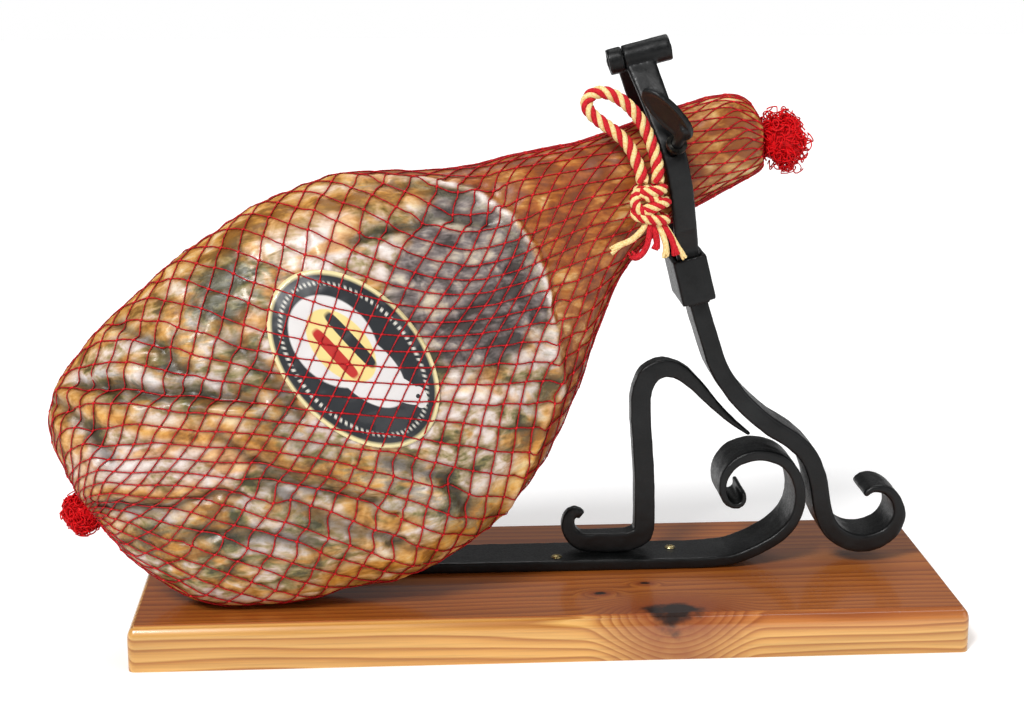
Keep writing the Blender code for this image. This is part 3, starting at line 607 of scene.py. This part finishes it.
# Tones follow lines too, each with a width and a share: cream lightens, gold warms and mould darkens the fat.
tones = {
    "cream": (
        (((46, 101), (97, 70), (128, 51), (160, 34)), 4.5, 1.2),
        (((42, 30), (84, 8), (120, -22)), 20, 1.1),
        (((283, 104), (258, 84), (246, 60)), 11, 0.9),
        (((190, 60), (206, 20), (200, -20)), 16, 0.6),
        (((300, -60), (340, -80), (378, -60)), 16, 0.7),
    ),
    "gold": (
        (((50, 72), (85, 36), (114, 11), (143, -13)), 9, 0.95),
        (((10, 18), (45, -2), (90, -18)), 7, 0.9),
        (((134, 11), (154, -22), (179, -55), (212, -84)), 7, 0.9),
        (((8, 96), (22, 70), (26, 50)), 12, 0.8),
        (((60, 122), (110, 128), (180, 138)), 16, 0.85),
        (((180, 142), (256, 130), (326, 106)), 15, 0.85),
        (((26, 40), (14, 0), (30, -30)), 9, 0.6),
        (((366, -100), (308, -136), (233, -150), (146, -134)), 13, 1.0),
    ),
    "mould": (
        (((66, 84), (100, 56), (130, 36)), 9, 1.0),
        (((40, -36), (84, -56), (150, -80)), 18, 0.75),
        (((118, 60), (150, 84), (180, 108)), 22, 0.75),
        (((150, 40), (164, 0), (180, -30)), 13, 0.7),
        (((200, -60), (250, -112), (262, -146)), 22, 0.85),
        (((300, 84), (340, 78), (372, 62)), 6, 1.0),
        (((330, -100), (362, -84), (384, -50)), 12, 0.55),
    ),
}
# The skin ends in a raised rim round the lean: u of the rim at each v.
skinRim = {"v": (-165, -121, -94, -53, -17, 19, 47, 74, 95, 112, 150),
           "u": (270, 333, 364, 384, 397, 401, 397, 386, 363, 334, 268), "height": 3.6, "width": 4.5}
leanFace = {"centre": (352, 16), "radii": (68, 72), "turn": 12, "sink": 3.5}


def lineDistance(u, v, line):  # distance to the line, and how far to its lower side
    best = np.full(len(u), 1e9)
    side = np.zeros(len(u))
    for (u0, v0), (u1, v1) in zip(line, line[1:]):
        du, dv = u1 - u0, v1 - v0
        t = np.clip(((u - u0) * du + (v - v0) * dv) / (du * du + dv * dv), 0, 1)
        ou, ov = u - u0 - t * du, v - v0 - t * dv
        far = np.hypot(ou, ov)
        cross = (dv * ou - du * ov) / math.hypot(du, dv)
        side = np.where(far < best, cross, side)
        best = np.minimum(best, far)
    return best, side


def hamFields(places, normals):  # where each finish is, and how far the surface stands out, in millimetres
    local = (places - np.array(hamStart)) / millimetre
    u, v, w = (local @ np.array(axis) for axis in (hamAlong, hamUp, hamSide))
    facing = normals @ np.array(hamSide)
    front = step(0.05, 0.5, facing)
    wobble = np.array([noise.fractal(Vector(p) / 0.030, 1.0, 2.0, 3) for p in places])
    rimU = np.interp(v, skinRim["v"], skinRim["u"]) + 5 * wobble
    pastRim = u - rimU
    turn = math.radians(leanFace["turn"])
    ou, ov = u - leanFace["centre"][0], v - leanFace["centre"][1]
    lu = (ou * math.cos(turn) - ov * math.sin(turn)) / leanFace["radii"][0]
    lv = (ou * math.sin(turn) + ov * math.cos(turn)) / leanFace["radii"][1]
    leanShare = 1 - step(0.82, 1.12, np.hypot(lu, lv) + 0.22 * wobble)
    out = front * skinRim["height"] * np.exp(-(pastRim / skinRim["width"]) ** 2)
    out -= front * leanFace["sink"] * leanShare
    # Painted shade: the hollow of each fold is darkened in the rind's colour.
    creaseShade = np.zeros(len(u))
    for line, width, depth, swell in folds:
        far, side = lineDistance(u + 4 * wobble, v + 3 * wobble, line)
        mask = np.exp(-(far / width) ** 2)
        lip = np.exp(-((side - 1.6 * width) / (1.2 * width)) ** 2) * (far < 4 * width)
        out += front * (swell * lip - depth * mask)
        if depth > 0:
            creaseShade = np.maximum(creaseShade, front * mask)
    skinShare = np.maximum(step(0, 5, pastRim), 1 - step(-0.25, 0.1, facing))
    lumps = np.array([noise.fractal(Vector(p) / 0.042, 0.9, 2.1, 5) for p in places])
    ripple = np.array([noise.ridged_multi_fractal(Vector((r / 26, s / 11, t / 26)), 1.0, 2.2, 3, 0.9, 1.6)
                       for r, s, t in zip(u, v, w)])
    rough = 1 - 0.75 * skinShare
    out += rough * (2.2 * lumps + 0.8 * (ripple - 1.2)) + (1 - rough) * 0.8 * lumps
    tone = {}
    for kind, rows in tones.items():
        tone[kind] = np.zeros(len(u))
        for line, width, share in rows:
            far, _ = lineDistance(u + 5 * wobble, v + 5 * wobble, line)
            tone[kind] = np.maximum(tone[kind], front * share * np.exp(-(far / width) ** 2))
    under = step(-0.55, -0.15, facing) * (1 - step(0.25, 0.75, facing)) * (1 - step(380, 420, u))
    outside = step(-1, 4, pastRim) * (1 - step(10, 26, pastRim)) * (1 - step(20, 60, v))
    rimPale = front * np.exp(-((pastRim + 0.5) / 2.7) ** 2)
    shaded = front * np.exp(-((pastRim + 9) / 4.5) ** 2) * step(-70, -30, v)  # painted shadow just inside the raised rim, laid into the mould channel
    maps = {"fleshMap": (leanShare * front * (1 - step(-4, 0, pastRim)), skinShare * (1 - rimPale),
                         0.85 * creaseShade),
            "bloomAndShadowMap": (np.maximum(tone["mould"], 0.9 * shaded) * (1 - skinShare),
                         np.maximum(tone["cream"], 1.1 * rimPale),
                         np.maximum.reduce([tone["gold"], under, 0.8 * outside])),
            "pressMap": (0 * u, step(540, 596, u), 0 * u)}
    return out, maps


def makeHam():
    piece = mergedCopy("ham_in_net", "curedHam", rindLook)
    build = bmesh.new()
    build.from_mesh(piece.data)
    bmesh.ops.join_triangles(build, faces=build.faces, angle_face_threshold=0.7, angle_shape_threshold=0.9)
    build.to_mesh(piece.data)
    build.free()
    rounded = piece.modifiers.new("Rounded", "SUBSURF")
    rounded.levels = rounded.render_levels = 2
    even = piece.modifiers.new("Even skin", "REMESH")
    even.mode = "VOXEL"
    even.voxel_size = hamLook["voxel"] * millimetre
    soft = piece.modifiers.new("Soft", "SMOOTH")
    soft.iterations = hamLook["smooth"]
    fixed(piece)
    mesh = piece.data
    out, maps = hamFields(points(mesh), points(mesh, True))
    places = points(mesh) + points(mesh, True) * (out[:, None] * millimetre)
    places[:, 2] = np.maximum(places[:, 2], boardTop + hamLook["overBoard"] * millimetre)
    setPoints(mesh, places)
    for name, channels in maps.items():
        layer = mesh.color_attributes.new(name, "FLOAT_COLOR", "POINT")
        values = np.ones((len(mesh.vertices), 4), np.float32)
        for i, channel in enumerate(channels):
            values[:, i] = np.clip(channel, 0, 1)
        layer.data.foreach_set("color", values.ravel())
    mesh.shade_smooth()
    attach(piece, "stand")
    return piece


def surfaceOf(*pieces):  # the skins of these pieces together, for rays
    corners, faces = [], []
    for piece in pieces:
        start = len(corners)
        corners += [v.co.copy() for v in piece.data.vertices]
        faces += [[start + i for i in face.vertices] for face in piece.data.polygons]
    return BVHTree.FromPolygons(corners, faces)


ham = makeHam()
hamSkin = surfaceOf(ham)
print("ham ready")


# label

outside = 0.35  # metres out from the ham, where rays begin


def makeLabel():
    build = bmesh.new()
    bmesh.ops.create_grid(build, x_segments=56, y_segments=40, size=1.0)
    spots = build.loops.layers.uv.new("labelUV")
    for vert in build.verts:  # the square grid is rounded into a disc
        x, y = vert.co.x, vert.co.y
        vert.co.x, vert.co.y = x * math.sqrt(1 - y * y / 2), y * math.sqrt(1 - x * x / 2)
    for face in build.faces:
        for loop in face.loops:
            loop[spots].uv = loop.vert.co.xy
    turn = math.radians(labelLook["turn"])
    along, up = labelLook["centre"]
    middle = hamStart + hamAlong * along + hamUp * up
    for vert in build.verts:
        x, y = vert.co.x * labelLook["half"][0], vert.co.y * labelLook["half"][1]
        start = (middle + hamAlong * (x * math.cos(turn) - y * math.sin(turn))
                 + hamUp * (x * math.sin(turn) + y * math.cos(turn)) + hamSide * outside)
        vert.co = hamSkin.ray_cast(start, -hamSide)[0]
    for _ in range(12):
        bmesh.ops.smooth_vert(build, verts=[v for v in build.verts if not v.is_boundary], factor=0.5,
                              use_axis_x=True, use_axis_y=True, use_axis_z=True)
    for vert in build.verts:  # the paper bridges hollows but never dips into the rind
        start = vert.co + hamSide * outside
        hit = hamSkin.ray_cast(start, -hamSide)[0]
        height = max((vert.co - hit).dot(hamSide), 0)
        vert.co = hit + hamSide * (height + labelLook["lift"] * millimetre)
    if sum((f.normal for f in build.faces), Vector()).dot(hamSide) < 0:
        bmesh.ops.reverse_faces(build, faces=build.faces)
    piece = newPiece("ovalLabel", meshOf(build, "ovalLabel"), labelPaper)
    thickness = piece.modifiers.new("Thickness", "SOLIDIFY")
    thickness.thickness = labelLook["thick"] * millimetre
    thickness.offset = 1.0
    fixed(piece)
    piece.data.shade_smooth()
    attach(piece, "stand")
    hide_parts("label")
    return piece


label = makeLabel()
coveredSkin = surfaceOf(ham, label)
print("label ready")


# net: threads run from gather to gather in two crossing sets, held by a knot at each crossing

netLook = {"threads": 35, "side": 15.5, "radius": 0.56, "knotRadius": 1.05, "spacing": 4.0, "capStart": 34,
           "capStop": 592, "capSteps": 14, "capTurn": 80, "bunch": 0.38, "press": 0.75, "pressWidth": 3.0,
           "swell": 0.35, "around": 16}
gathers = [(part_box(n)[0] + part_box(n)[1]) / 2 for n in ("net_tuft_rump", "net_tuft_shank")]


def spokesOf():  # places on the ham's middle line, with how far the spokes there lean to a gather
    def middleAt(u):
        inner = hamStart + hamAlong * u * millimetre + hamUp * 0.012
        high = hamSkin.ray_cast(inner, hamUp)[0]
        low = hamSkin.ray_cast(inner, -hamUp)[0]
        front = hamSkin.ray_cast((high + low) / 2, hamSide)[0]
        back = hamSkin.ray_cast((high + low) / 2, -hamSide)[0]
        return (front + back) / 2

    turns = [netLook["capTurn"] * (1 - i / netLook["capSteps"]) for i in range(netLook["capSteps"])]
    low, high = netLook["capStart"], netLook["capStop"]
    first, last = middleAt(low), middleAt(high)
    spokes = [(first, turn, (gathers[0] - first).normalized()) for turn in turns]
    count = round((high - low) / netLook["spacing"])
    spokes += [(middleAt(low + (high - low) * i / count), 0.0, hamAlong) for i in range(count + 1)]
    spokes += [(last, turn, (gathers[1] - last).normalized()) for turn in reversed(turns)]
    return spokes


def netPoint(spokes, station, angle, lift):
    index = min(int(station), len(spokes) - 2)
    share = station - index
    (a, turnA, aimA), (b, turnB, aimB) = spokes[index], spokes[index + 1]
    centre, turn = a.lerp(b, share), math.radians(turnA + (turnB - turnA) * share)
    aim = aimA if turnA > turnB or share < 0.5 and turnA > 0 else aimB
    onShank = float(step(330, 480, (centre - hamStart).dot(hamAlong) / millimetre))
    angle += netLook["bunch"] * onShank * -math.sin(2 * angle)  # threads crowd above and below the shank
    radial = hamUp * math.cos(angle) + hamSide * math.sin(angle)
    way = (radial * math.cos(turn) + aim * math.sin(turn)).normalized()
    hit, normal, _, _ = coveredSkin.ray_cast(centre + way * outside, -way)
    if hit is None:
        return None
    place = hit + normal * lift
    place.z = max(place.z, boardTop + lift)
    return place


def pressHam(route):  # the rind swells between the threads and is pressed in under them
    mesh = ham.data
    tree = KDTree(len(route))
    for i, spot in enumerate(route):
        tree.insert(spot, i)
    tree.balance()
    far = np.array([tree.find(v.co)[2] for v in mesh.vertices]) / millimetre
    u = (points(mesh) - np.array(hamStart)) @ np.array(hamAlong) / millimetre
    firm = (1 - 0.8 * step(385, 430, u))[:, None]  # leathery skin hardly gives
    share = np.exp(-(far / netLook["pressWidth"]) ** 2)
    depth = (netLook["swell"] - share)[:, None] * firm * netLook["press"] * millimetre
    places = points(mesh) + points(mesh, True) * depth
    places[:, 2] = np.maximum(places[:, 2], boardTop + hamLook["overBoard"] * millimetre)
    setPoints(mesh, places)
    # The pressed share also goes into the colour as painted shade under the threads.
    layer = mesh.color_attributes["pressMap"]
    values = np.zeros(len(mesh.vertices) * 4, np.float32)
    layer.data.foreach_get("color", values)
    values[0::4] = share * firm[:, 0]
    layer.data.foreach_set("color", values)


def makeNet():
    spokes = spokesOf()
    count = netLook["threads"]
    lift = netLook["radius"] * 0.9 * millimetre
    around = netLook["around"]
    samples = [[netPoint(spokes, s, 2 * math.pi * k / around, 0) for k in range(around)]
               for s in range(len(spokes))]
    reach, rounds = [0.0], []
    for s, row in enumerate(samples):
        rounds.append(sum((row[k] - row[k - 1]).length for k in range(around)) * 1.02)
        if s:
            reach.append(reach[-1] + sum((a - b).length for a, b in zip(row, samples[s - 1])) / around)
    rows = [0.0]
    while rows[-1] < reach[-1] - 0.006:
        half = np.interp(rows[-1], reach, rounds) / (2 * count)
        side = netLook["side"] * millimetre
        rows.append(rows[-1] + math.sqrt(max(side ** 2 - half ** 2, (0.45 * side) ** 2)))
    stations = [float(np.interp(row, reach, range(len(spokes)))) for row in rows]
    routes, knots = [], []
    for hand in (1, -1):
        for k in range(count):
            route = [gathers[0]]
            for i, station in enumerate(stations):
                angle = math.pi * (2 * k + hand * i) / count
                place = netPoint(spokes, station, angle, lift)
                if place is None:
                    continue
                route.append(place)
                if hand == 1:
                    ahead = netPoint(spokes, min(station + 0.5, len(spokes) - 1), angle, lift)
                    knots.append((place, ahead))
                for part in (0.2, 0.4, 0.6, 0.8) if i + 1 < len(stations) else ():
                    between = netPoint(spokes, station + (stations[i + 1] - station) * part,
                                       angle + hand * math.pi * part / count, lift)
                    if between is not None:
                        route.append(between)
            routes.append((route + [gathers[1]], 0))
    pressHam([p for route, _ in routes for p in route[1:-1]])
    net = threads("netThreads", routes, netLook["radius"] * millimetre, (netRed,))
    bead = bmesh.new()
    bmesh.ops.create_icosphere(bead, subdivisions=1, radius=netLook["knotRadius"] * millimetre)
    bmesh.ops.scale(bead, vec=(0.85, 0.85, 1.7), verts=bead.verts)
    corner = np.array([v.co for v in bead.verts])
    trios = np.array([[v.index for v in f.verts] for f in bead.faces])
    bead.free()
    places, faces = [], []
    for spot, ahead in knots:
        way = ahead - spot
        turn = np.array(way.to_track_quat("Z", "Y").to_matrix()) if way.length > 0 else np.eye(3)
        faces.append(trios + len(places) * len(corner))
        places.append(corner @ turn.T + np.array(spot))
    mesh = bpy.data.meshes.new("netKnots")
    mesh.from_pydata(np.concatenate(places).tolist(), [], np.concatenate(faces).tolist())
    mesh.shade_smooth()
    tied = newPiece("netKnots", mesh, knotRed)
    for piece in (net, tied):
        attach(piece, "stand")
        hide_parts("ham_in_net")


makeNet()
print("net ready")


# gathered ends of the net

tuftLook = {"strands": 560, "radius": 0.58, "length": 30, "steps": 14, "curl": 0.9}


def makeTuft(node, name, tall):  # a ball of cut thread ends that curl every way
    low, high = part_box(node)
    centre, radius = (low + high) / 2, (high - low).length / 2 / math.sqrt(3) * 0.97
    routes = []

    def anyWay():
        return Vector((random.gauss(0, 1), random.gauss(0, 1), random.gauss(0, 1))).normalized()

    def limitOf(far):  # the bunch is taller than it is deep
        return radius * (1 + tall * abs(far.normalized().dot(hamUp)) ** 1.5)

    for _ in range(tuftLook["strands"]):
        way, twist, start = anyWay(), anyWay(), anyWay()
        place = centre + start * limitOf(start) * random.uniform(0.3, 0.85)
        most = random.uniform(0.85, 1.16)
        route = [place.copy()]
        for _ in range(tuftLook["steps"]):
            way = (way + way.cross(twist) * tuftLook["curl"] * random.uniform(0.3, 1.0)).normalized()
            place = place + way * tuftLook["length"] / tuftLook["steps"] * millimetre
            far = place - centre
            if far.length > limitOf(far) * most:
                place = centre + far.normalized() * limitOf(far) * most
            if (place - route[-1]).length > 0.0004:
                route.append(place.copy())
        if len(route) > 3:
            routes.append((route, 0))
    core = bmesh.new()
    bmesh.ops.create_icosphere(core, subdivisions=3, radius=radius * 0.9)
    for vert in core.verts:
        vert.co = centre + vert.co * (1 + 0.16 * noise.noise(vert.co / 0.004))
    ball = newPiece(name + "Core", meshOf(core, name + "Core"), tuftRed)
    ball.data.shade_smooth()
    strands = threads(name, routes, tuftLook["radius"] * millimetre, (tuftRed,))
    for piece in (ball, strands):
        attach(piece, "stand")
        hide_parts(node)


makeTuft("net_tuft_shank", "shankTuft", 0.42)
makeTuft("net_tuft_rump", "rumpTuft", 0.12)
print("gathers ready")


# cord: two red and two cream strands laid up together, hung from the shank and tied

cordLook = {"radius": 5.2, "pitch": 25.0, "strands": 4, "knotRadius": 4.4, "yarn": 1.05, "yarns": 9}
cordRoute = ((84.0, -46.0, 361), (84.3, -45.2, 366), (83.8, -41.0, 376), (80.5, -39.0, 388),
             (76.0, -36.5, 399), (70.0, -34.5, 409.5), (62.0, -33.0, 418.5), (52.0, -32.0, 425.5),
             (42.0, -31.5, 428.5), (33.5, -31.5, 426.0), (30.5, -32.5, 419.0), (34.5, -33.5, 412.0),
             (43.0, -35.0, 405.0), (53.0, -37.0, 398.0), (61.5, -39.5, 389.5), (67.0, -42.0, 379.0),
             (70.8, -44.2, 370.0), (72.0, -45.5, 365.5), (72.2, -46.0, 361))


def laidStrands(path, radius, pitch, start=0.0):  # strands, red and cream in turn, that wind round the path
    strandRadius = radius * 0.415
    count = cordLook["strands"]
    bend = radius - strandRadius
    frames, side = [], None
    for i, place in enumerate(path):
        way = wayAt(path, i)
        side = way.orthogonal() if side is None else side - way * side.dot(way)
        side.normalize()
        frames.append((place, side.copy(), way.cross(side)))
    routes = []
    for k in range(count):
        run, route = 0.0, []
        for i, (place, side, other) in enumerate(frames):
            run += (place - path[i - 1]).length if i else 0.0
            turn = start + 2 * math.pi * (run / pitch + k / count)
            route.append(place + (side * math.cos(turn) + other * math.sin(turn)) * bend)
        routes.append((route, k % 2))
    return routes, strandRadius


def makeCord():
    path = smoothPath([Vector(p) * millimetre for p in cordRoute], 1.5 * millimetre)
    routes, strandRadius = laidStrands(path, cordLook["radius"] * millimetre, cordLook["pitch"] * millimetre)
    length = sum((b - a).length for a, b in zip(path, path[1:]))
    return threads("twistedCord", routes, strandRadius, (cottonRed, cottonCream), 2), path, length


knotCentre = (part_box("rope_knot")[0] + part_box("rope_knot")[1]) / 2


# Each turn of the knot: its centre and radii in millimetres, tilt, lean and the pitch of its strands.
knotTurns = (((0.0, 0.0, -7.0), (12.0, 6.0), 8, 10, 17), ((0.5, 0.0, 0.5), (12.5, 6.5), -6, -20, 17),
             ((-4.0, -4.0, 6.0), (8.5, 8.0), 78, 20, 15), ((0.5, 0.5, 9.0), (10.5, 5.5), 6, 24, 17),
             ((0.0, -0.5, 13.6), (9.5, 5.5), 4, -8, 17))


def loopRoute(centre, radii, tilt, lean, steps=28):  # a tilted oval turn of cord
    frameTurn = Matrix.Rotation(math.radians(lean), 3, "Y") @ Matrix.Rotation(math.radians(tilt), 3, "X")
    route = []
    for i in range(steps + 1):
        angle = 2 * math.pi * i / steps
        flat = Vector((radii[0] * math.cos(angle), radii[1] * math.sin(angle), 0))
        route.append(knotCentre + Vector(centre) * millimetre + frameTurn @ (flat * millimetre))
    return route


def makeKnot():  # a half knot: the two runs wrapped by turns of the same cord
    radius, strands = cordLook["knotRadius"] * millimetre, []
    for centre, radii, tilt, lean, pitch in knotTurns:
        route = loopRoute(centre, radii, tilt, lean)
        strands += laidStrands(route, radius, pitch * millimetre, random.uniform(0, 3))[0]
    return threads("cordKnot", strands, radius * 0.43, (cottonRed, cottonCream), 2)


tailRoutes = (  # millimetres from the knot's centre; each unlaid strand's slot and thickness
    (((-2, -2, -10), (-7, -4, -17), (-15, -5, -24), (-24, -5, -28), (-31, -5, -33)), 1, 2.9),
    (((0, -3, -11), (-1, -5, -20), (-3, -6, -29), (-8, -6, -36), (-13, -6, -37), (-15, -6, -33)), 0, 3.0),
    (((2, -2, -11), (4, -4, -20), (5, -5, -27), (3, -6, -33)), 0, 3.5),
    (((4, -2, -10), (9, -4, -19), (12, -5, -29), (12, -5, -38)), 1, 2.9),
    (((6, -1, -8), (12, -3, -16), (17, -4, -25), (20, -4, -36)), 0, 3.0),
    (((7, -1, -8), (14, -2, -17), (20, -3, -27), (27, -3, -39)), 1, 2.0),
)


def makeTails():  # the strands' cut ends, each a bundle of yarns that opens at its tip
    routes = []
    for line, slot, thick in tailRoutes:
        path = smoothPath([knotCentre + Vector(p) * millimetre for p in line], 1.6 * millimetre)
        spread = [0.75 + 0.55 * max(0, (i / (len(path) - 1) - 0.72) / 0.28) for i in range(len(path))]
        for k in range(cordLook["yarns"]):
            ring = 0.0 if k == 0 else 0.62 * thick * millimetre
            strand = []
            for i, place in enumerate(path):
                way = wayAt(path, i)
                side = way.cross(Vector((0, 1, 0))).normalized()
                turn = 2 * math.pi * k / (cordLook["yarns"] - 1) + i * 0.22
                outward = side * math.cos(turn) + way.cross(side) * math.sin(turn)
                strand.append(place + outward * ring * spread[i])
            cut = random.randint(0, 2)
            routes.append((strand[:len(strand) - cut], slot))
    return threads("cordTails", routes, cordLook["yarn"] * millimetre, (cottonRed, cottonCream), 1)


cord, cordPath, cordLength = makeCord()
knot = makeKnot()
tails = makeTails()
for piece, node in ((cord, "rope_loop"), (knot, "rope_knot"), (tails, "rope_knot")):
    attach(piece, "stand")
    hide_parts(node)
print("cord ready")


# floor

floorMesh = bmesh.new()
bmesh.ops.create_grid(floorMesh, x_segments=1, y_segments=1, size=6.0)
floorLook, floorShader = newMaterial("whitePaperSweep")
seen = addNode(floorLook, "LightPath").outputs["Is Camera Ray"]
lift = addNode(floorLook, "Math", {0: seen, 1: room["floorLift"]}, operation="MULTIPLY")
feed(floorShader, {"Base Color": colour("#F4F4F4"), "Roughness": 0.9, "Emission Color": (1, 1, 1, 1),
                   "Emission Strength": lift})
floor = newPiece("floor", meshOf(floorMesh, "floor"), floorLook)

paths = addNode(world, "LightPath").outputs
mirrored = addNode(world, "MapRange",
                   {"Value": paths["Is Glossy Ray"], "To Min": room["light"], "To Max": room["mirrored"]})
glow = addNode(world, "MapRange",
               {"Value": paths["Is Camera Ray"], "To Min": mirrored, "To Max": room["seen"]})
feed(world.node_tree.nodes["Background"], {"Strength": glow})
print("stage ready")
